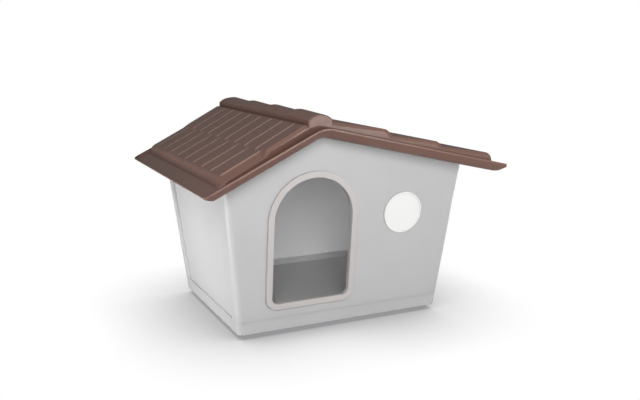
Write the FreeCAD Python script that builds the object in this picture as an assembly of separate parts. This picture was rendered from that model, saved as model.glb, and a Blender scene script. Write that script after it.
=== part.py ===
"""Small plastic dog house with a lift-off tile roof, in millimetres.

X runs to the right seen from the doorway, Y to the back and Z up. The origin lies on the ground under the
middle of the roof. Distances called inset are measured level, inwards from the outer face of a leaning wall.
Places on a roof slope are given as along, down the slope from the line where the two rim planes would meet,
and rise, square to the slope.
"""
import FreeCAD, Part
import math
import os

# Overall size
roof_width = 600.0
roof_depth = 505.0
overall_height = 410.0

# Roof slopes
ridge_from_left = 212.5
left_drop = 103.0
right_drop = 88.0
bend_radius = 50.0

# Roof rim and gutter
lip_edge = 3.0
lip_corner = 12.0
flare_run = 15.0
flare_drop = 15.0
flare_round = 18.0
rim_skin = 3.0
eave_gutter_depth = 4.0

# Roof tiles: each row has its end along the slope and its rise at its start and at its end
tile_inset = 18.0
tile_skin = 5.0
tile_end_skin = 3.0
tile_edge_skin = 5.0
tile_bevel = 5.0
front_ease_run = 22.5
front_ease_drop = 8.5
left_gutter = 31.0
right_gutter = 25.0
left_first_row = 89.0
right_first_row = 120.5
right_second_row = 110.0
left_rises = ((15.0, 11.6), (9.4, 7.6))
right_rises = ((11.0, 17.8), (7.8, 15.4), (7.4, 14.8))
row_end_run = 13.0
row_end_round = 15.0
right_end_round = 18.0
tile_columns = 9
left_groove_shifts = (10.0, 29.5)
groove_width = 5.0
groove_depth = 3.0

# Ridge tiles
ridge_rise = 23.0
ridge_tile_step = 3.0
ridge_peak_from_back = 28.0
ridge_bevel = 1.5
ridge_half_width = 23.0
ridge_crown = 10.0
ridge_tile_count = 4
ridge_skin = 5.0

# Leaning walls: the overhangs run from the roof's edge to the wall's outer face at ground level
side_overhang = 93.0
end_overhang = 90.5
body_shift = -7.7
wall_lean = 0.111
corner_radius = 10.0
wall = 3.5
panel = 3.5
fit = 0.3
batten = 3.0
return_length = 30.0

# Roof seat on the walls
seat_rise = -6.0
seat_rib_inside = 8.0
locating_lip = 3.0
locating_depth = 9.0
lip_play = 0.5

# Doorway, trim ring and badge
door_from_ridge = 9.0
door_width = 158.0
door_spring = 216.5
door_sill = 60.0
frame_width = 9.0
frame_proud = 4.0
frame_sleeve = 2.0
frame_reach = 3.0
sill_round = 14.0
badge_x = 106.0
badge_height = 212.0
badge_radius = 40.0
badge_thickness = 2.0
badge_rim = 3.0
badge_rim_proud = 1.2

# Air slots in the back wall
slot_count = 5
slot_width = 8.0
slot_length = 46.0
slot_pitch = 22.0
slot_below_ridge = 92.0

# Floor, feet and screws
foot_height = 10.0
foot_radius = 16.0
foot_inset = 42.0
stud_radius = 4.0
stud_length = 12.0
floor_top = 34.0
floor_plate = 4.0
skirt = 4.0
floor_rib = 3.0
floor_rib_gap = 3.0
floor_rib_fields = 4
upstand = 3.0
upstand_height = 12.0
post_height = 40.0
post_inset = 20.0
post_depth = 14.0
screw_inset_x = 15.0
screw_inset_y = 9.0
screw_radius = 2.0
screw_length = 14.0
screw_head_radius = 4.0
screw_head = 2.6
screw_play = 0.1
hole_play = 0.3

# Turn clips
clip_below_rim = 2.0
clip_stand_off = 7.0
clip_boss_radius = 7.0
clip_thickness = 4.5
clip_hub_radius = 7.0
clip_arm_length = 20.0
clip_arm_width = 9.0
clip_tip_round = 3.0
clip_running_gap = 0.3
hook_gap = 0.6
hook_foot = 5.0
hook_start = 10.0
hook_stem = 6.0
hook_stem_gap = 3.0
hook_overlap = 3.5
pivot_radius = 2.5
pivot_thread_radius = 1.9
pivot_head_radius = 5.0
pivot_head = 2.2

# Places worked out from the sizes above
apex_z = overall_height - ridge_rise
body_width = roof_width - 2 * side_overhang
body_depth = roof_depth - 2 * end_overhang
ridge_x = ridge_from_left - roof_width / 2
right_run = roof_width - ridge_from_left
left_pitch = math.atan2(left_drop, ridge_from_left)
right_pitch = math.atan2(right_drop, right_run)
left_length = math.hypot(ridge_from_left, left_drop)
right_length = math.hypot(right_run, right_drop)
half_bend = (left_pitch + right_pitch) / 2
bend_along = bend_radius * math.tan(half_bend)
rim_depth = lip_edge + flare_drop
gutter_depth = rim_depth - rim_skin
flare_angle = math.atan2(flare_run, flare_drop)
half_depth = roof_depth / 2
tile_half_depth = half_depth - tile_inset
ease_start = tile_half_depth - front_ease_run
left_tile_end = left_length - left_gutter
right_tile_end = right_length - right_gutter
left_start = ridge_half_width / math.cos(left_pitch)
right_start = ridge_half_width / math.cos(right_pitch)
left_rows = (left_start, left_start + left_first_row, left_tile_end)
right_rows = (right_start, right_start + right_first_row,
              right_start + right_first_row + right_second_row, right_tile_end)
panel_near = wall + fit
panel_far = panel_near + panel
batten_near = panel_far + fit
batten_far = batten_near + batten
door_x = ridge_x + door_from_ridge
clip_low = clip_stand_off + clip_running_gap
clip_high = clip_low + clip_thickness
seat_rib_outside = clip_high + fit - panel_near
far_away = 2 * (roof_width + roof_depth + overall_height)
sliver = fit / 100


def left_slope(along, rise):
    """Point (x, z) on the left slope."""
    x = ridge_x - along * math.cos(left_pitch) - rise * math.sin(left_pitch)
    z = apex_z - along * math.sin(left_pitch) + rise * math.cos(left_pitch)
    return x, z


def right_slope(along, rise):
    """Point (x, z) on the right slope."""
    x = ridge_x + along * math.cos(right_pitch) + rise * math.sin(right_pitch)
    z = apex_z - along * math.sin(right_pitch) + rise * math.cos(right_pitch)
    return x, z


def ridge_point(rise):
    """Point (x, z) where the two slopes meet at a rise above the rim planes."""
    return left_slope(-rise * math.tan(half_bend), rise)


def wall_x(side, z, inset):
    """Level place of the left (-1) or right (+1) wall plane at a height, moved inwards by inset."""
    return body_shift + side * (body_width / 2 + wall_lean * z - inset)


def wall_y(end, z, inset):
    """Level place of the front (-1) or back (+1) wall plane at a height, moved inwards by inset."""
    return end * (body_depth / 2 + wall_lean * z - inset)


def outline(corners, place):
    """Closed wire through corners (u, v, radius); place turns flat u, v into a point in space."""
    flat = []
    for index, (u, v, radius) in enumerate(corners):
        corner = FreeCAD.Vector(u, v, 0)
        before = FreeCAD.Vector(*corners[index - 1][:2], 0) - corner
        after = FreeCAD.Vector(*corners[(index + 1) % len(corners)][:2], 0) - corner
        half_angle = before.getAngle(after) / 2
        before.normalize()
        after.normalize()
        if radius == 0:
            flat.append((corner, None, corner))
            continue
        reach = radius / math.tan(half_angle)
        middle = before + after
        middle.normalize()
        middle.multiply(radius / math.sin(half_angle) - radius)
        flat.append((corner + before * reach, corner + middle, corner + after * reach))
    edges = []
    for index, (start, middle, end) in enumerate(flat):
        last_end = flat[index - 1][2]
        if not last_end.isEqual(start, 1e-6):
            edges.append(Part.makeLine(place(last_end.x, last_end.y), place(start.x, start.y)))
        if middle is not None:
            arc = Part.Arc(place(start.x, start.y), place(middle.x, middle.y), place(end.x, end.y))
            edges.append(arc.toShape())
    return Part.Wire(edges)


def profile_prism(corners, y_low, y_high):
    """Solid with an outline in X and Z, running along Y."""
    wire = outline(corners, lambda x, z: FreeCAD.Vector(x, y_low, z))
    return Part.Face(wire).extrude(FreeCAD.Vector(0, y_high - y_low, 0))


def leaning_block(x_planes, y_planes, z_low, z_high):
    """Block between two side planes and two end planes, each given as (wall, inset)."""
    low_x = sorted(wall_x(side, z_low, inset) for side, inset in x_planes)
    high_x = sorted(wall_x(side, z_high, inset) for side, inset in x_planes)
    low_y = sorted(wall_y(end, z_low, inset) for end, inset in y_planes)
    high_y = sorted(wall_y(end, z_high, inset) for end, inset in y_planes)
    # A wedge tapers along its own Y, so it is made lying down and then stood up.
    block = Part.makeWedge(low_x[0], z_low, -low_y[1], -high_y[1], high_x[0],
                           low_x[1], z_high, -low_y[0], -high_y[0], high_x[1])
    block.rotate(FreeCAD.Vector(), FreeCAD.Vector(1, 0, 0), 90)
    return block


def tub(inset, z_low, z_high):
    """Solid between the four leaning wall planes moved inwards by inset, with rounded upright corners."""
    planes = ((-1, inset), (1, inset))
    block = leaning_block(planes, planes, z_low, z_high)
    upright = [edge for edge in block.Edges if edge.BoundBox.ZLength > (z_high - z_low) / 2]
    return block.makeFillet(max(corner_radius - inset, fit), upright).Solids[0]


def end_slab(end, near, far):
    """Everything between two insets of the front or back wall plane, over the full width."""
    return leaning_block(((-1, -roof_width), (1, -roof_width)), ((end, near), (end, far)), 0, overall_height)


def above_slopes(rise):
    """Everything above the roof slopes at a rise, rounded at the ridge like the rim."""
    left = left_slope(left_length, rise)
    right = right_slope(right_length, rise)
    ridge = ridge_point(rise)
    corners = [(*left, 0), (left[0], far_away, 0), (right[0], far_away, 0), (*right, 0),
               (*ridge, bend_radius + rise)]
    return profile_prism(corners, -roof_depth, roof_depth)


def over_ridge(section):
    """Solid made by carrying a section of (y, rise, radius) corners over both slopes of the roof."""
    centre_x, centre_z = left_slope(bend_along, -bend_radius)

    def at_bend(y, rise):
        x, z = left_slope(bend_along, rise)
        return FreeCAD.Vector(x, y, z)

    start = Part.Face(outline(section, at_bend))
    down_left = FreeCAD.Vector(-math.cos(left_pitch), 0, -math.sin(left_pitch))
    down_right = FreeCAD.Vector(math.cos(right_pitch), 0, -math.sin(right_pitch))
    centre = FreeCAD.Vector(centre_x, 0, centre_z)
    turn = math.degrees(2 * half_bend)
    bend = start.revolve(centre, FreeCAD.Vector(0, 1, 0), turn)
    finish = start.copy()
    finish.rotate(centre, FreeCAD.Vector(0, 1, 0), turn)
    left = start.extrude(down_left * (left_length - bend_along))
    right = finish.extrude(down_right * (right_length - bend_along))
    return left.fuse([bend, right]).removeSplitter()


def flare_profile(skin, low_rise, top_rise, radius):
    """Corners (inset, rise, radius) of the rim's face moved inwards by skin, from its top down."""
    level_skin = skin / math.cos(flare_angle)
    knee_rise = (level_skin - skin) / math.tan(flare_angle) - lip_edge
    low_inset = level_skin - (lip_edge + low_rise) * math.tan(flare_angle)
    return [(skin, top_rise, 0), (skin, knee_rise, 0), (low_inset, low_rise, radius)]


def between_eaves(profile):
    """Solid across the roof that ends at each eave in a rim profile, for trimming."""
    low_inset, low_rise, radius = profile[-1]
    stop = low_inset + radius + fit
    deep_rise = low_rise - apex_z / 2
    ends = [(stop, deep_rise, 0), (stop, low_rise, 0), *reversed(profile[1:]), (profile[0][0], roof_depth, 0)]
    corners = [(*left_slope(left_length - inset, rise), rounding) for inset, rise, rounding in ends]
    ends.reverse()
    corners += [(*right_slope(right_length - inset, rise), rounding) for inset, rise, rounding in ends]
    return profile_prism(corners, -roof_depth, roof_depth)


def plan_prism(inset, radius):
    """Upright block as large as the roof in plan, moved inwards by inset, with rounded corners."""
    x = roof_width / 2 - inset
    y = half_depth - inset
    corners = [(-x, -y, radius), (x, -y, radius), (x, y, radius), (-x, y, radius)]
    wire = outline(corners, lambda u, v: FreeCAD.Vector(u, v, 0))
    return Part.Face(wire).extrude(FreeCAD.Vector(0, 0, 2 * overall_height))


def rim_channel(skin, low_rise, top_rise, radius):
    """Solid across the whole roof inside the rim's face moved inwards by skin."""
    profile = flare_profile(skin, low_rise, top_rise, radius)
    section = [(inset - half_depth, rise, rounding) for inset, rise, rounding in profile]
    section += [(half_depth - inset, rise, rounding) for inset, rise, rounding in reversed(profile)]
    channel = over_ridge(section).common(between_eaves(profile))
    return channel.common(plan_prism(skin, lip_corner - skin))


def slope_prism(slope, corners, half_length):
    """Block on a slope with an outline of (along, rise) corners."""
    return profile_prism([(*slope(along, rise), 0) for along, rise in corners], -half_length, half_length)


def roof_tray():
    """Flared rim with deep gutters along the gables and shallow ones along the eaves."""
    rim = rim_channel(0, -rim_depth, 0, flare_round)
    pocket = rim_channel(rim_skin, -gutter_depth, lip_edge, flare_round - rim_skin)
    eaves = []
    for slope, length, tile_end in ((left_slope, left_length, left_tile_end),
                                    (right_slope, right_length, right_tile_end)):
        near = tile_end - tile_end_skin
        corners = [(near, -rim_depth), (length, -rim_depth), (length, -eave_gutter_depth),
                   (near, -eave_gutter_depth)]
        eaves.append(slope_prism(slope, corners, half_depth).common(rim))
    return rim.cut(pocket).fuse(eaves).removeSplitter()


def eave_hollows(half_length):
    """Room under the two shallow eave gutters, as far out as the rim's skin allows."""
    top_rise = -eave_gutter_depth - rim_skin
    low_rise = -2 * rim_depth
    top_inset = flare_profile(rim_skin, top_rise, 0, 0)[-1][0]
    low_inset = flare_profile(rim_skin, low_rise, 0, 0)[-1][0]
    hollows = []
    for slope, length, tile_end in ((left_slope, left_length, left_tile_end),
                                    (right_slope, right_length, right_tile_end)):
        near = tile_end - row_end_run - tile_end_skin
        corners = [(near, low_rise), (length - low_inset, low_rise), (length - top_inset, top_rise),
                   (near, top_rise)]
        hollows.append(slope_prism(slope, corners, half_length))
    return hollows


def tile_corners(down, end_inset, floor_rise, ease=0):
    """Outline of the tile rows in X and Z, sunk by down below the outer faces and shorter by end_inset.

    The lower left row is sunk by ease as well.
    """
    def row_end(slope, along, rise, next_rise):
        return [(*slope(along - end_inset, next_rise - down), 0),
                (*slope(along - row_end_run - end_inset, rise - down), row_end_round)]

    corners = [(*left_slope(left_rows[2] - end_inset, floor_rise), 0)]
    corners += row_end(left_slope, left_rows[2], left_rises[1][1] - ease, -eave_gutter_depth)
    corners += row_end(left_slope, left_rows[1], left_rises[0][1], left_rises[1][0] - ease)
    corners.append((*left_slope(left_rows[0], left_rises[0][0] - down), 0))
    corners.append((*right_slope(right_rows[0], right_rises[0][0] - down), 0))
    corners += reversed(row_end(right_slope, right_rows[1], right_rises[0][1], right_rises[1][0]))
    corners += reversed(row_end(right_slope, right_rows[2], right_rises[1][1], right_rises[2][0]))
    right_end = right_rows[3] - end_inset
    corners.append((*right_slope(right_end, right_rises[2][1] - down), right_end_round - end_inset))
    corners.append((*right_slope(right_end, floor_rise), 0))
    corners.append((*ridge_point(floor_rise), bend_radius + floor_rise))
    return corners


def front_ease(from_end):
    """Drop of the lower left row at a distance from the front ends of the rows."""
    return front_ease_drop * (1 - from_end / front_ease_run)


def tile_loft(sections, floor_rise):
    """Solid through outlines of the tile rows, given as (y, down, end_inset, ease)."""
    wires = []
    for y, down, end_inset, ease in sections:
        corners = tile_corners(down, end_inset, floor_rise, ease)
        wires.append(outline(corners, lambda x, z, level=y: FreeCAD.Vector(x, level, z)))
    return Part.makeLoft(wires, True, True)


def tile_rows():
    """Tile rows bevelled along the gables; the lower left one falls towards the front gutter."""
    floor_rise = -gutter_depth - rim_skin / 2
    straight = tile_half_depth - tile_bevel
    middle = profile_prism(tile_corners(0, 0, floor_rise), -ease_start, straight)
    front = [(-ease_start, 0, 0, 0), (-straight, 0, 0, front_ease(tile_bevel)),
             (-tile_half_depth, tile_bevel, tile_bevel, front_ease_drop - tile_bevel)]
    back = [(straight, 0, 0, 0), (tile_half_depth, tile_bevel, tile_bevel, 0)]
    return [middle, tile_loft(front, floor_rise), tile_loft(back, floor_rise)]


def tile_hollow(half_length):
    """Room under the tile rows."""
    floor_rise = -apex_z / 2
    middle = profile_prism(tile_corners(tile_skin, tile_end_skin, floor_rise), -ease_start, half_length)
    front = [(-ease_start, tile_skin, tile_end_skin, 0),
             (-half_length, tile_skin, tile_end_skin, front_ease(tile_half_depth - half_length))]
    return middle.fuse(tile_loft(front, floor_rise))


def ridge_section(y, top, half_width):
    """Half-round section of a ridge tile, reaching down into the tile rows."""
    low_z = apex_z - gutter_depth / 2
    side_z = top - ridge_crown
    points = [FreeCAD.Vector(ridge_x - half_width, y, low_z), FreeCAD.Vector(ridge_x - half_width, y, side_z),
              FreeCAD.Vector(ridge_x + half_width, y, side_z), FreeCAD.Vector(ridge_x + half_width, y, low_z)]
    crown = Part.Arc(points[1], FreeCAD.Vector(ridge_x, y, top), points[2]).toShape()
    return Part.Wire([Part.makeLine(points[0], points[1]), crown, Part.makeLine(points[2], points[3]),
                      Part.makeLine(points[3], points[0])])


def ridge_tiles():
    """Ridge tiles, each rising to a peak near its back end and falling to the next one."""
    length = 2 * tile_half_depth / ridge_tile_count
    low = overall_height - ridge_tile_step
    tiles = []
    for index in range(ridge_tile_count):
        y_low = -tile_half_depth + index * length
        y_high = y_low + length
        heights = [(y_low, low, 0), (y_high - ridge_peak_from_back, overall_height, 0), (y_high, low, 0)]
        if index == 0:
            heights[:1] = [(y_low, low, ridge_bevel), (y_low + ridge_bevel, low, 0)]
        if index == ridge_tile_count - 1:
            heights[-1:] = [(y_high - ridge_bevel, low, 0), (y_high, low, ridge_bevel)]
        sections = [ridge_section(y, top - bevel, ridge_half_width - bevel) for y, top, bevel in heights]
        tiles.append(Part.makeLoft(sections, True, True))
    return tiles


def tile_grooves():
    """V cuts between the tiles of each row, as deep below the tile face as they reach above it."""
    pitch = 2 * tile_half_depth / tile_columns
    rows = [(left_slope, left_rows[row:row + 2], left_rises[row], left_groove_shifts[row]) for row in (0, 1)]
    rows += [(right_slope, right_rows[row:row + 2], right_rises[row], 0) for row in (0, 1, 2)]
    cuts = []
    for slope, (start, end), (start_rise, end_rise), shift in rows:
        first_x, first_z = slope(start, start_rise)
        last_x, last_z = slope(end, end_rise)
        top_x, top_z = slope(start, start_rise + groove_depth)
        bottom_x, bottom_z = slope(start, start_rise - groove_depth)
        run = FreeCAD.Vector(last_x - first_x, 0, last_z - first_z)
        for column in range(1, tile_columns):
            y = -tile_half_depth + column * pitch - shift
            points = [FreeCAD.Vector(top_x, y - groove_width, top_z),
                      FreeCAD.Vector(top_x, y + groove_width, top_z), FreeCAD.Vector(bottom_x, y, bottom_z)]
            cuts.append(Part.Face(Part.makePolygon(points + points[:1])).extrude(run))
    return cuts


def seat_ribs():
    """Ribs inside the roof that stand on the wall tops, and the lips that keep it from sliding off."""
    z_low = floor_top
    ring = tub(-seat_rib_outside, z_low, overall_height).cut(tub(seat_rib_inside, z_low, overall_height))
    ribs = [ring.common(above_slopes(seat_rise + fit))]
    lip_zone = above_slopes(seat_rise - locating_depth)
    side_near = panel_far + lip_play
    end_near = wall + lip_play
    side_stop = batten_far + locating_lip
    end_stop = return_length + locating_lip
    for wall_name in (-1, 1):
        side_planes = ((wall_name, side_near), (wall_name, side_near + locating_lip))
        side_lip = leaning_block(side_planes, ((-1, end_stop), (1, end_stop)), z_low, overall_height)
        end_planes = ((wall_name, end_near), (wall_name, end_near + locating_lip))
        end_lip = leaning_block(((-1, side_stop), (1, side_stop)), end_planes, z_low, overall_height)
        ribs += [side_lip.common(lip_zone), end_lip.common(lip_zone)]
    return ribs


def slope_z(side, inset, rise):
    """Height where the left or right wall plane, moved inwards by inset, meets the roof slope at a rise."""
    pitch = left_pitch if side < 0 else right_pitch
    peak_x, peak_z = ridge_point(rise)
    reach = abs(wall_x(side, 0, inset) - peak_x)
    return (peak_z - reach * math.tan(pitch)) / (1 + wall_lean * math.tan(pitch))


def clip_place(side):
    """Placement at a clip pivot on the outside of a side panel: local X level, Y up the wall, Z outwards."""
    pivot_z = slope_z(side, panel_near - clip_high, -rim_depth) - clip_below_rim - clip_arm_length
    lean_angle = math.atan(wall_lean)
    outward = FreeCAD.Vector(side * math.cos(lean_angle), 0, -math.sin(lean_angle))
    upward = FreeCAD.Vector(side * math.sin(lean_angle), 0, math.cos(lean_angle))
    level = upward.cross(outward)
    turn = FreeCAD.Rotation(level, upward, outward, "XYZ")
    return FreeCAD.Placement(FreeCAD.Vector(wall_x(side, pivot_z, panel_near), 0, pivot_z), turn)


def placed(shape, placement):
    """Copy of a shape moved from its own axes to a place."""
    moved = shape.copy()
    moved.Placement = placement.multiply(moved.Placement)
    return moved


def local_plate(corners, low, high):
    """Plate with an outline in local X and Y, between two local heights."""
    wire = outline(corners, lambda x, y: FreeCAD.Vector(x, y, low))
    return Part.Face(wire).extrude(FreeCAD.Vector(0, 0, high - low))


def rod(radius, low, high):
    """Round rod along local Z."""
    return Part.makeCylinder(radius, high - low, FreeCAD.Vector(0, 0, low))


def clip_hook(side):
    """Hook that hangs from the roof beside a clip; the turned clip lies over its foot."""
    foot_top = -clip_arm_width / 2 - hook_gap
    foot_low = foot_top - hook_foot
    stem_near = clip_arm_length + hook_stem_gap
    stem_far = stem_near + hook_stem
    top = overall_height / 2
    corners = [(hook_start, foot_low, 0), (stem_far, foot_low, 0), (stem_far, top, 0), (stem_near, top, 0),
               (stem_near, foot_top, 0), (hook_start, foot_top, 0)]
    hook = placed(local_plate(corners, clip_low, clip_high), clip_place(side))
    return hook.cut(above_slopes(seat_rise + hook_overlap))


def make_roof():
    """Roof moulding: rim and gutter, hollow tile rows, ridge tiles, seat ribs and clip hooks."""
    roof = roof_tray().fuse(tile_rows() + ridge_tiles()).removeSplitter()
    inner_half_depth = tile_half_depth - tile_edge_skin
    ridge_hollow = Part.makeBox(2 * (ridge_half_width - ridge_skin), 2 * inner_half_depth,
                                ridge_rise + rim_depth - ridge_tile_step - ridge_crown - ridge_skin / 2,
                                FreeCAD.Vector(ridge_x - ridge_half_width + ridge_skin, -inner_half_depth,
                                               apex_z - rim_depth))
    rooms = [ridge_hollow] + eave_hollows(inner_half_depth)
    hollow = tile_hollow(inner_half_depth).fuse(rooms).cut(seat_ribs())
    roof = roof.cut([hollow] + tile_grooves())
    return roof.fuse([clip_hook(-1), clip_hook(1)]).removeSplitter()


def make_gable(end):
    """Front or back wall without openings: wrapped corners, panel channels and screw posts."""
    skin = tub(0, floor_top, overall_height).cut(tub(wall, floor_top, overall_height))
    gable = skin.common(end_slab(end, -corner_radius, return_length))
    added = []
    holes = []
    for side in (-1, 1):
        added.append(leaning_block(((side, batten_near), (side, batten_far)),
                                   ((end, wall / 2), (end, return_length)), floor_top, overall_height))
        added.append(leaning_block(((side, batten_near + batten / 2), (side, post_inset)),
                                   ((end, wall / 2), (end, post_depth)), floor_top, floor_top + post_height))
        x, y = screw_place(side, end)
        holes.append(Part.makeCylinder(screw_radius + screw_play, screw_length + hole_play,
                                       FreeCAD.Vector(x, y, floor_top)))
    return gable.fuse(added).cut(holes + [above_slopes(seat_rise)]).removeSplitter()


def screw_place(side, end):
    """Level place of the floor screw in a corner."""
    return wall_x(side, floor_top, screw_inset_x), wall_y(end, floor_top, screw_inset_y)


def door_prism(grow):
    """Doorway opening, grown all round, running level through the front wall."""
    half = door_width / 2 + grow
    low = door_sill - grow
    top = door_spring + half
    corner = max(sill_round + grow, fit)
    corners = [(door_x - half, low, corner), (door_x + half, low, corner),
               (door_x + half, top, half - sliver), (door_x - half, top, half - sliver)]
    return profile_prism(corners, -roof_depth, 0)


def make_front_wall():
    """Front wall with the arched doorway."""
    return make_gable(-1).cut(door_prism(0)).removeSplitter()


def make_back_wall():
    """Back wall with a row of air slots under the ridge."""
    slots = []
    top = apex_z - slot_below_ridge
    for index in range(slot_count):
        x = ridge_x + (index - (slot_count - 1) / 2) * slot_pitch
        half = slot_width / 2
        corner = half - sliver
        corners = [(x - half, top - slot_length, corner), (x + half, top - slot_length, corner),
                   (x + half, top, corner), (x - half, top, corner)]
        slots.append(profile_prism(corners, 0, roof_depth))
    return make_gable(1).cut(slots)


def make_side_wall(side):
    """Flat side panel that stands in the channels of the two gable walls and carries a clip boss."""
    ends = ((-1, corner_radius + fit), (1, corner_radius + fit))
    sheet = leaning_block(((side, panel_near), (side, panel_far)), ends, floor_top, overall_height)
    sheet = sheet.cut(above_slopes(seat_rise))
    place = clip_place(side)
    boss = placed(rod(clip_boss_radius, -panel / 2, clip_stand_off), place)
    hole = placed(rod(pivot_thread_radius + screw_play, -panel * 2, clip_stand_off * 2), place)
    return sheet.fuse(boss).cut(hole).removeSplitter()


def make_door_frame():
    """Trim ring on the front wall with a sleeve that lines the doorway."""
    inner = door_prism(-fit - frame_sleeve)
    flange = door_prism(frame_width).cut(inner).common(end_slab(-1, -frame_proud, 0))
    sleeve = door_prism(-fit).cut(inner)
    sleeve = sleeve.common(end_slab(-1, -frame_proud / 2, wall + frame_reach))
    return flange.fuse(sleeve).removeSplitter()


def make_badge():
    """Blank round plate with a raised rim on the front wall."""
    def disc(radius, near, far):
        start = FreeCAD.Vector(badge_x, -roof_depth, badge_height)
        rod_through = Part.makeCylinder(radius, roof_depth, start, FreeCAD.Vector(0, 1, 0))
        return rod_through.common(end_slab(-1, near, far))
    plate = disc(badge_radius, -badge_thickness - badge_rim_proud, 0)
    face = disc(badge_radius - badge_rim, -2 * badge_thickness - badge_rim_proud, -badge_thickness)
    return plate.cut(face)


def foot_places():
    """Names and level places of the four feet."""
    places = []
    for end, end_name in ((-1, "front"), (1, "back")):
        for side, side_name in ((-1, "left"), (1, "right")):
            x = wall_x(side, foot_height, foot_inset)
            y = wall_y(end, foot_height, foot_inset)
            places.append((f"foot_{end_name}_{side_name}", x, y))
    return places


def make_foot(x, y):
    """Pad with a stud that pushes up into the floor."""
    pad = Part.makeCylinder(foot_radius, foot_height, FreeCAD.Vector(x, y, 0))
    stud = Part.makeCylinder(stud_radius, stud_length + foot_height, FreeCAD.Vector(x, y, 0))
    return pad.fuse(stud).removeSplitter()


def make_floor():
    """Raised floor: plate, skirt, ribs underneath, foot bosses and upstands that hold the wall feet."""
    rib_low = foot_height + floor_rib_gap
    plate_low = floor_top - floor_plate
    inside = tub(skirt / 2, rib_low, floor_top - floor_plate / 2)
    added = [tub(0, plate_low, floor_top)]
    holes = []
    for field in range(1, floor_rib_fields):
        y = (field / floor_rib_fields - 0.5) * body_depth
        rib = Part.makeBox(2 * body_width, floor_rib, floor_top, FreeCAD.Vector(-body_width, y, 0))
        added.append(rib.common(inside))
        x = body_shift + (field / floor_rib_fields - 0.5) * body_width
        rib = Part.makeBox(floor_rib, 2 * body_depth, floor_top, FreeCAD.Vector(x, -body_depth, 0))
        added.append(rib.common(inside))
    for _, x, y in foot_places():
        low = FreeCAD.Vector(x, y, foot_height)
        added.append(Part.makeCylinder(foot_radius, plate_low - foot_height + floor_plate / 2, low))
        holes.append(Part.makeCylinder(stud_radius + fit, stud_length + fit, low))
    upstand_low = plate_low + floor_plate / 2
    upstand_top = floor_top + upstand_height
    side_near = panel_far + fit
    end_near = wall + fit
    side_stop = post_inset + upstand
    end_stop = return_length + upstand
    for wall_name in (-1, 1):
        side_planes = ((wall_name, side_near), (wall_name, side_near + upstand))
        added.append(leaning_block(side_planes, ((-1, end_stop), (1, end_stop)), upstand_low, upstand_top))
        end_planes = ((wall_name, end_near), (wall_name, end_near + upstand))
        added.append(leaning_block(((-1, side_stop), (1, side_stop)), end_planes, upstand_low, upstand_top))
    for side in (-1, 1):
        for end in (-1, 1):
            x, y = screw_place(side, end)
            holes.append(Part.makeCylinder(screw_radius + hole_play, floor_top, FreeCAD.Vector(x, y, 0)))
    shell = tub(0, foot_height, floor_top).cut(tub(skirt, foot_height, plate_low))
    return shell.fuse(added).cut(holes).removeSplitter()


def make_floor_screws():
    """Four screws driven up through the floor into the posts of the gable walls."""
    screws = []
    head_top = floor_top - floor_plate
    for end in (-1, 1):
        for side in (-1, 1):
            x, y = screw_place(side, end)
            under_plate = FreeCAD.Vector(x, y, head_top)
            down = FreeCAD.Vector(0, 0, -1)
            shank = Part.makeCylinder(screw_radius, floor_plate + screw_length, under_plate)
            head = Part.makeCylinder(screw_head_radius, screw_head, under_plate, down)
            screws.append(shank.fuse(head).removeSplitter())
    return Part.makeCompound(screws)


def make_clip(side):
    """Turn clip, drawn released with its arm up the wall."""
    half = clip_arm_width / 2
    arm = local_plate([(-half, 0, 0), (half, 0, 0), (half, clip_arm_length, clip_tip_round),
                       (-half, clip_arm_length, clip_tip_round)], clip_low, clip_high)
    hub = rod(clip_hub_radius, clip_low, clip_high)
    bore = rod(pivot_radius + screw_play, 0, clip_high * 2)
    return placed(hub.fuse(arm).cut(bore).removeSplitter(), clip_place(side))


def make_clip_pivots():
    """Shoulder screws that the two clips turn on."""
    head_low = clip_high + clip_running_gap / 2
    shoulder = rod(pivot_radius, clip_stand_off, head_low + pivot_head / 2)
    thread = rod(pivot_thread_radius, -panel / 2, clip_stand_off + clip_running_gap)
    head = rod(pivot_head_radius, head_low, head_low + pivot_head)
    screw = shoulder.fuse([thread, head]).removeSplitter()
    return Part.makeCompound([placed(screw, clip_place(side)) for side in (-1, 1)])


def main():
    """Write every piece to its own file."""
    pieces = {"roof_shell": make_roof(), "front_wall": make_front_wall(), "back_wall": make_back_wall(),
              "left_wall": make_side_wall(-1), "right_wall": make_side_wall(1),
              "door_frame": make_door_frame(), "badge_plate": make_badge(), "floor_tray": make_floor(),
              "floor_screws": make_floor_screws(), "left_roof_clip": make_clip(-1),
              "right_roof_clip": make_clip(1), "clip_pivots": make_clip_pivots()}
    for name, x, y in foot_places():
        pieces[name] = make_foot(x, y)
    os.makedirs("parts", exist_ok=True)
    for name, shape in pieces.items():
        shape.exportStep(f"parts/{name}.step")
        print(name, len(shape.Solids), shape.isValid(), round(shape.Volume / 1000, 1))


main()
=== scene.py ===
import math

import bpy
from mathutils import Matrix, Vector


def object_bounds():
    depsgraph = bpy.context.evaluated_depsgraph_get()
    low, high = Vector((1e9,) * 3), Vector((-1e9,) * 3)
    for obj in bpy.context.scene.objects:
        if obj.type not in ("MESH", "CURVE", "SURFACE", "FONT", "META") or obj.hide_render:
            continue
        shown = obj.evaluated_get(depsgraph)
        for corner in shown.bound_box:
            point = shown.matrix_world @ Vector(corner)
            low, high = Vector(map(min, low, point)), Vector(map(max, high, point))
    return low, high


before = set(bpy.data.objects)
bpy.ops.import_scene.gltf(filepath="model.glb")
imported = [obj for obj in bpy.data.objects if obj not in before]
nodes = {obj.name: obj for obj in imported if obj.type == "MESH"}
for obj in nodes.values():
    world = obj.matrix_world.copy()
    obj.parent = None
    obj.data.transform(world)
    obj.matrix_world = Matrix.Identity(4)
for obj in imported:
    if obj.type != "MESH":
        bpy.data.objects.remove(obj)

# Looks of a small plastic dog house, in metres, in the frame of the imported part.
cad_low, cad_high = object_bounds()

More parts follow.
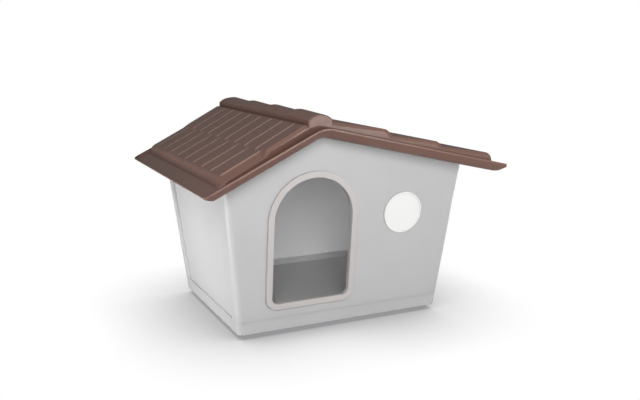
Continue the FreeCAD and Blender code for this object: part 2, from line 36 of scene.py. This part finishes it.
# Camera, fitted to the roof's rim and ridge in the photograph, with its angles in radians
image_width = 640
sensor_width = 36.0
focal_pixels = 778.25
camera_place = (-0.6545, -1.4135, 0.5216)
camera_turn = 0.447
camera_tilt = 0.197

# Colours as seen on screen, from 0 to 255
roof_colour = (127, 96, 85)
roof_dark = (97, 72, 65)
# Painted shade, mixed into the roof where ambient occlusion finds a crevice
roof_crevice_shade = (52, 30, 22)
# Painted highlight, a paler colour along the grooves on the tile tops
roof_groove_highlight = (186, 152, 138)
body_colour = (232, 232, 232)
body_dark = (221, 221, 222)
# Painted shade, mixed into the pale parts where ambient occlusion finds a crevice
pale_crevice_shade = (205, 205, 206)
frame_colour = (221, 216, 213)
frame_dark = (210, 205, 202)
badge_colour = (226, 226, 225)
badge_dark = (222, 222, 221)
rubber_colour = (52, 51, 50)
rubber_dark = (34, 33, 33)
steel_colour = (172, 172, 174)
steel_dark = (128, 128, 131)
floor_colour = (255, 255, 255)
floor_shadow = (150, 150, 152)
floor_bounce = (140, 140, 140)

# Moulded surface: the useful part of a noise, then tone, gloss, grain, painted shade in crevices and edges
noise_low = 0.3
noise_high = 0.7
tone_scale = 5.0
tone_share = 0.45
gloss_scale = 60.0
gloss_below = 0.04
gloss_above = 0.05
grain_scale = 900.0
grain_depth = 0.00012
grain_strength = 0.35
crevice_reach = 0.03
crevice_samples = 6
crevice_full = 0.12
crevice_shade_share = 0.95
pale_open_sky = 0.5
roof_open_sky = 0.74
edge_softness = 0.0012

# Tiles of the roof, with the grooves between them, along which a paler colour is painted as a highlight
ridge_from_left = 0.2125
row_break_from_left = 0.11
ridge_x = cad_low[0] + ridge_from_left
row_break_x = cad_low[0] + row_break_from_left
ridge_clearance = 0.029
left_eave_width = 0.042
right_eave_width = 0.038
left_tiles = (cad_low[0] + left_eave_width, ridge_x - ridge_clearance)
right_tiles = (ridge_x + ridge_clearance, cad_high[0] - right_eave_width)
tile_inset = 0.018
tile_half_depth = cad_high[1] - tile_inset
tile_bevel = 0.006
tile_columns = 9
tile_pitch = 2 * tile_half_depth / tile_columns
tile_middle = 0.5
upper_groove_shift = 0.01
lower_groove_shift = 0.0295
groove_highlight_from = 0.41
groove_highlight_share = 0.7
facing_up = 0.5

# Floor and light
floor_half = 6.0
floor_level = -0.0005
floor_roughness = 0.9
shadow_reach = 0.22
shadow_samples = 16
shadow_full = 0.25
horizon_light = 0.17
overhead_light = 0.33
overhead_from = 0.7
house_middle = (0.0, 0.0, 0.15)
left_wall_middle = (-0.24, 0.0, 0.15)
right_wall_middle = (0.22, 0.0, 0.15)
back_wall_middle = (0.0, 0.18, 0.15)
strip_size = (0.5, 0.1)
side_strip_gap = 0.32
side_strip_x = cad_high[0] + side_strip_gap
side_strip_height = 0.1
back_strip_gap = 0.2675
back_strip_y = cad_high[1] + back_strip_gap
back_strip_height = 0.08


def screen(colour):
    """Linear colour with full alpha from a colour on screen, by the sRGB curve."""
    linear = []
    for value in colour:
        share = value / 255
        linear.append(share / 12.92 if share <= 0.04045 else ((share + 0.055) / 1.055) ** 2.4)
    return (*linear, 1.0)


def add_node(tree, kind, **values):
    """New node with its input sockets set by name."""
    node = tree.nodes.new(kind)
    for name, value in values.items():
        node.inputs[name.replace("_", " ")].default_value = value
    return node


def noise(tree, scale, detail, roughness):
    """Noise that is fixed to the piece."""
    coordinates = add_node(tree, "ShaderNodeTexCoord")
    texture = add_node(tree, "ShaderNodeTexNoise", Scale=scale, Detail=detail, Roughness=roughness)
    tree.links.new(coordinates.outputs["Object"], texture.inputs["Vector"])
    return texture.outputs["Fac"]


def openness(tree, reach, samples):
    """One in the open, falling to zero deep in a crevice."""
    node = add_node(tree, "ShaderNodeAmbientOcclusion", Distance=reach)
    node.samples = samples
    return node.outputs["AO"]


def ramp(tree, value, start, end, first, last):
    """Number that goes from first to last while a value goes from start to end."""
    node = add_node(tree, "ShaderNodeMapRange", From_Min=start, From_Max=end, To_Min=first, To_Max=last)
    tree.links.new(value, node.inputs["Value"])
    return node.outputs["Result"]


def mix_colours(tree, share, first, second):
    """Mix of two colours, each one a colour on screen or the output of a node."""
    node = tree.nodes.new("ShaderNodeMix")
    node.data_type = "RGBA"
    tree.links.new(share, node.inputs["Factor"])
    for name, colour in (("A", first), ("B", second)):
        if isinstance(colour, tuple):
            node.inputs[name].default_value = screen(colour)
        else:
            tree.links.new(colour, node.inputs[name])
    return node.outputs["Result"]


def calculate(tree, operation, *terms):
    """Result of a math node whose inputs are numbers or outputs of other nodes."""
    node = tree.nodes.new("ShaderNodeMath")
    node.operation = operation
    for socket, term in zip(node.inputs, terms):
        if isinstance(term, float):
            socket.default_value = term
        else:
            tree.links.new(term, socket)
    return node.outputs["Value"]


def between(tree, value, limits):
    """One where a value lies between two limits, else zero."""
    low_limit, high_limit = limits
    return calculate(tree, "COMPARE", value, (low_limit + high_limit) / 2, (high_limit - low_limit) / 2)


def split(tree, vector):
    """The three parts of a vector."""
    parts = tree.nodes.new("ShaderNodeSeparateXYZ")
    tree.links.new(vector, parts.inputs["Vector"])
    return parts.outputs["X"], parts.outputs["Y"], parts.outputs["Z"]


def moulded(name, colour, dark, crevice_shade, roughness, grain=grain_depth, open_sky=pale_open_sky, through=0.0,
            specular=0.5, metallic=0.0):
    """Surface with slow changes of tone, painted shade in crevices, uneven gloss, grain, soft edges and some
    glow.
    """
    material = bpy.data.materials.new(name)
    material.use_nodes = True
    tree = material.node_tree
    shader = tree.nodes["Principled BSDF"]
    shader.inputs["Specular IOR Level"].default_value = specular
    shader.inputs["Metallic"].default_value = metallic

    tone_noise = noise(tree, tone_scale, detail=4.0, roughness=0.6)
    tone = ramp(tree, tone_noise, noise_low, noise_high, 0.0, tone_share)
    # Painted shade: the colour darkens towards the crevice colour where ambient occlusion finds little open
    # sky
    sky = openness(tree, crevice_reach, crevice_samples)
    shade = ramp(tree, sky, crevice_full, open_sky, crevice_shade_share, 0.0)
    shaded = mix_colours(tree, shade, mix_colours(tree, tone, colour, dark), crevice_shade)
    tree.links.new(shaded, shader.inputs["Base Color"])

    gloss_noise = noise(tree, gloss_scale, detail=3.0, roughness=0.5)
    gloss = ramp(tree, gloss_noise, noise_low, noise_high, roughness - gloss_below, roughness + gloss_above)
    tree.links.new(gloss, shader.inputs["Roughness"])

    soft_edge = add_node(tree, "ShaderNodeBevel", Radius=edge_softness)
    bump = add_node(tree, "ShaderNodeBump", Strength=grain_strength, Distance=grain)
    tree.links.new(noise(tree, grain_scale, detail=2.0, roughness=0.5), bump.inputs["Height"])
    tree.links.new(soft_edge.outputs["Normal"], bump.inputs["Normal"])
    tree.links.new(bump.outputs["Normal"], shader.inputs["Normal"])

    if through > 0:
        glow = tree.nodes.new("ShaderNodeBsdfTranslucent")
        tree.links.new(shaded, glow.inputs["Color"])
        blend = add_node(tree, "ShaderNodeMixShader", Fac=through)
        tree.links.new(shader.outputs["BSDF"], blend.inputs[1])
        tree.links.new(glow.outputs["BSDF"], blend.inputs[2])
        tree.links.new(blend.outputs["Shader"], tree.nodes["Material Output"].inputs["Surface"])
    return material


def paint_groove_highlights(material):
    """Paint a pale highlight along the grooves on top of the tiles, which are shifted on the left rows."""
    tree = material.node_tree
    x, y, _ = split(tree, add_node(tree, "ShaderNodeTexCoord").outputs["Object"])
    on_left = calculate(tree, "LESS_THAN", x, left_tiles[1])
    on_lower = calculate(tree, "LESS_THAN", x, row_break_x)
    upper_shift = calculate(tree, "MULTIPLY", on_left, upper_groove_shift)
    extra_shift = lower_groove_shift - upper_groove_shift
    shift = calculate(tree, "MULTIPLY_ADD", on_lower, extra_shift, upper_shift)
    from_end = calculate(tree, "ADD", calculate(tree, "ADD", y, tile_half_depth), shift)
    across = calculate(tree, "FRACT", calculate(tree, "DIVIDE", from_end, tile_pitch))
    off_middle = calculate(tree, "ABSOLUTE", calculate(tree, "SUBTRACT", across, tile_middle))
    highlight_by_groove = ramp(tree, off_middle, groove_highlight_from, tile_middle, 0.0, groove_highlight_share)

    in_rows = calculate(tree, "ADD", between(tree, x, left_tiles), between(tree, x, right_tiles))
    in_columns = between(tree, y, (tile_bevel - tile_half_depth, tile_half_depth - tile_bevel))
    _, _, upward = split(tree, add_node(tree, "ShaderNodeNewGeometry").outputs["Normal"])
    on_top = calculate(tree, "GREATER_THAN", upward, facing_up)
    on_tiles = calculate(tree, "MULTIPLY", calculate(tree, "MULTIPLY", in_rows, in_columns), on_top)

    colour_socket = tree.nodes["Principled BSDF"].inputs["Base Color"]
    unhighlighted = colour_socket.links[0].from_socket
    # Painted highlight: paler colour mixed in along each groove on the tile tops
    highlighted = mix_colours(tree, calculate(tree, "MULTIPLY", highlight_by_groove, on_tiles), unhighlighted, roof_groove_highlight)
    tree.links.new(highlighted, colour_socket)


def dress(material, *names):
    """Give CAD pieces one material."""
    for name in names:
        mesh = nodes[name].data
        mesh.materials.clear()
        mesh.materials.append(material)


def show_to_camera(tree, lighting, seen, output):
    """Let the camera see one shader, while another one lights the object."""
    rays = tree.nodes.new("ShaderNodeLightPath")
    mix = tree.nodes.new("ShaderNodeMixShader")
    tree.links.new(rays.outputs["Is Camera Ray"], mix.inputs["Fac"])
    tree.links.new(lighting, mix.inputs[1])
    tree.links.new(seen, mix.inputs[2])
    tree.links.new(mix.outputs["Shader"], tree.nodes[output].inputs["Surface"])


def make_floor():
    """Pale floor, seen as white with a soft contact shadow and throwing back less light than white."""
    mesh = bpy.data.meshes.new("floor")
    corners = [(-floor_half, -floor_half, floor_level), (floor_half, -floor_half, floor_level),
               (floor_half, floor_half, floor_level), (-floor_half, floor_half, floor_level)]
    mesh.from_pydata(corners, [], [(0, 1, 2, 3)])
    floor = bpy.data.objects.new("floor", mesh)
    bpy.context.scene.collection.objects.link(floor)

    material = bpy.data.materials.new("floor_white")
    material.use_nodes = True
    tree = material.node_tree
    shader = tree.nodes["Principled BSDF"]
    shader.inputs["Roughness"].default_value = floor_roughness
    shader.inputs["Base Color"].default_value = screen(floor_bounce)
    light_share = ramp(tree, openness(tree, shadow_reach, shadow_samples), shadow_full, 1.0, 0.0, 1.0)
    seen = tree.nodes.new("ShaderNodeEmission")
    tree.links.new(mix_colours(tree, light_share, floor_shadow, floor_colour), seen.inputs["Color"])
    show_to_camera(tree, shader.outputs["BSDF"], seen.outputs["Emission"], "Material Output")
    mesh.materials.append(material)


def make_world():
    """Light from all round, stronger from overhead; the camera sees plain white behind the object."""
    world = bpy.data.worlds.new("studio")
    world.use_nodes = True
    tree = world.node_tree
    light = tree.nodes["Background"]
    light.inputs["Color"].default_value = screen(floor_colour)
    _, _, height = split(tree, add_node(tree, "ShaderNodeTexCoord").outputs["Generated"])
    strength = ramp(tree, height, 0.0, overhead_from, horizon_light, overhead_light)
    tree.links.new(strength, light.inputs["Strength"])
    white = add_node(tree, "ShaderNodeBackground", Color=screen(floor_colour), Strength=1.0)
    show_to_camera(tree, light.outputs["Background"], white.outputs["Background"], "World Output")
    bpy.context.scene.world = world


def make_lamp(name, place, aim, size, power, gloss=True):
    """Soft lamp pointing at a place, with or without a mirror image in glossy surfaces."""
    data = bpy.data.lights.new(name, "AREA")
    data.shape = "RECTANGLE"
    data.size, data.size_y = size
    data.energy = power
    lamp = bpy.data.objects.new(name, data)
    lamp.location = place
    lamp.visible_camera = False
    lamp.visible_glossy = gloss
    lamp.rotation_mode = "QUATERNION"
    lamp.rotation_quaternion = (Vector(aim) - Vector(place)).to_track_quat("-Z", "Y")
    bpy.context.scene.collection.objects.link(lamp)


def make_camera():
    """Camera at the photograph's place and angle."""
    data = bpy.data.cameras.new("camera")
    data.sensor_width = sensor_width
    data.lens = focal_pixels * sensor_width / image_width
    camera = bpy.data.objects.new("camera", data)
    camera.location = camera_place
    camera.rotation_euler = (math.pi / 2 - camera_tilt, 0.0, -camera_turn)
    bpy.context.scene.collection.objects.link(camera)
    bpy.context.scene.camera = camera


roof_plastic = moulded("roof_plastic", roof_colour, roof_dark, roof_crevice_shade, roughness=0.42,
                       open_sky=roof_open_sky, specular=0.45)
paint_groove_highlights(roof_plastic)
clip_plastic = moulded("clip_plastic", roof_colour, roof_dark, roof_crevice_shade, roughness=0.42)
body_plastic = moulded("body_plastic", body_colour, body_dark, pale_crevice_shade, roughness=0.46, through=0.48)
frame_plastic = moulded("frame_plastic", frame_colour, frame_dark, pale_crevice_shade, roughness=0.44,
                        through=0.35)
badge_plastic = moulded("badge_plastic", badge_colour, badge_dark, pale_crevice_shade, roughness=0.45,
                        grain=grain_depth / 4)
# The rubber's dark tone is also its painted shade in crevices
rubber = moulded("rubber", rubber_colour, rubber_dark, rubber_dark, roughness=0.75)
# The steel's dark tone is also its painted shade in crevices
steel = moulded("steel", steel_colour, steel_dark, steel_dark, roughness=0.34, grain=grain_depth / 2,
                metallic=1.0)

dress(roof_plastic, "roof_shell")
dress(clip_plastic, "left_roof_clip", "right_roof_clip")
dress(body_plastic, "front_wall", "back_wall", "left_wall", "right_wall", "floor_tray")
dress(frame_plastic, "door_frame")
dress(badge_plastic, "badge_plate")
dress(rubber, "foot_front_left", "foot_front_right", "foot_back_left", "foot_back_right")
dress(steel, "floor_screws", "clip_pivots")

make_floor()
make_world()

# Two lamps in front, the right one mirrored by the roof's front faces, and low strips that light the walls
make_lamp("front_lamp", place=(-0.6, -1.5, 0.85), aim=house_middle, size=(0.6, 0.6), power=18.5, gloss=False)
make_lamp("ridge_lamp", place=(0.5, -1.5, 0.16), aim=house_middle, size=(0.3, 0.14), power=8.0)
make_lamp("left_lamp", place=(-side_strip_x, 0.0, side_strip_height), aim=left_wall_middle, size=strip_size,
          power=2.4)
make_lamp("right_lamp", place=(side_strip_x, 0.0, side_strip_height), aim=right_wall_middle, size=strip_size,
          power=1.8)
make_lamp("back_lamp", place=(0.0, back_strip_y, back_strip_height), aim=back_wall_middle, size=strip_size,
          power=2.0)
make_camera()
bpy.context.scene.view_settings.view_transform = "Standard"
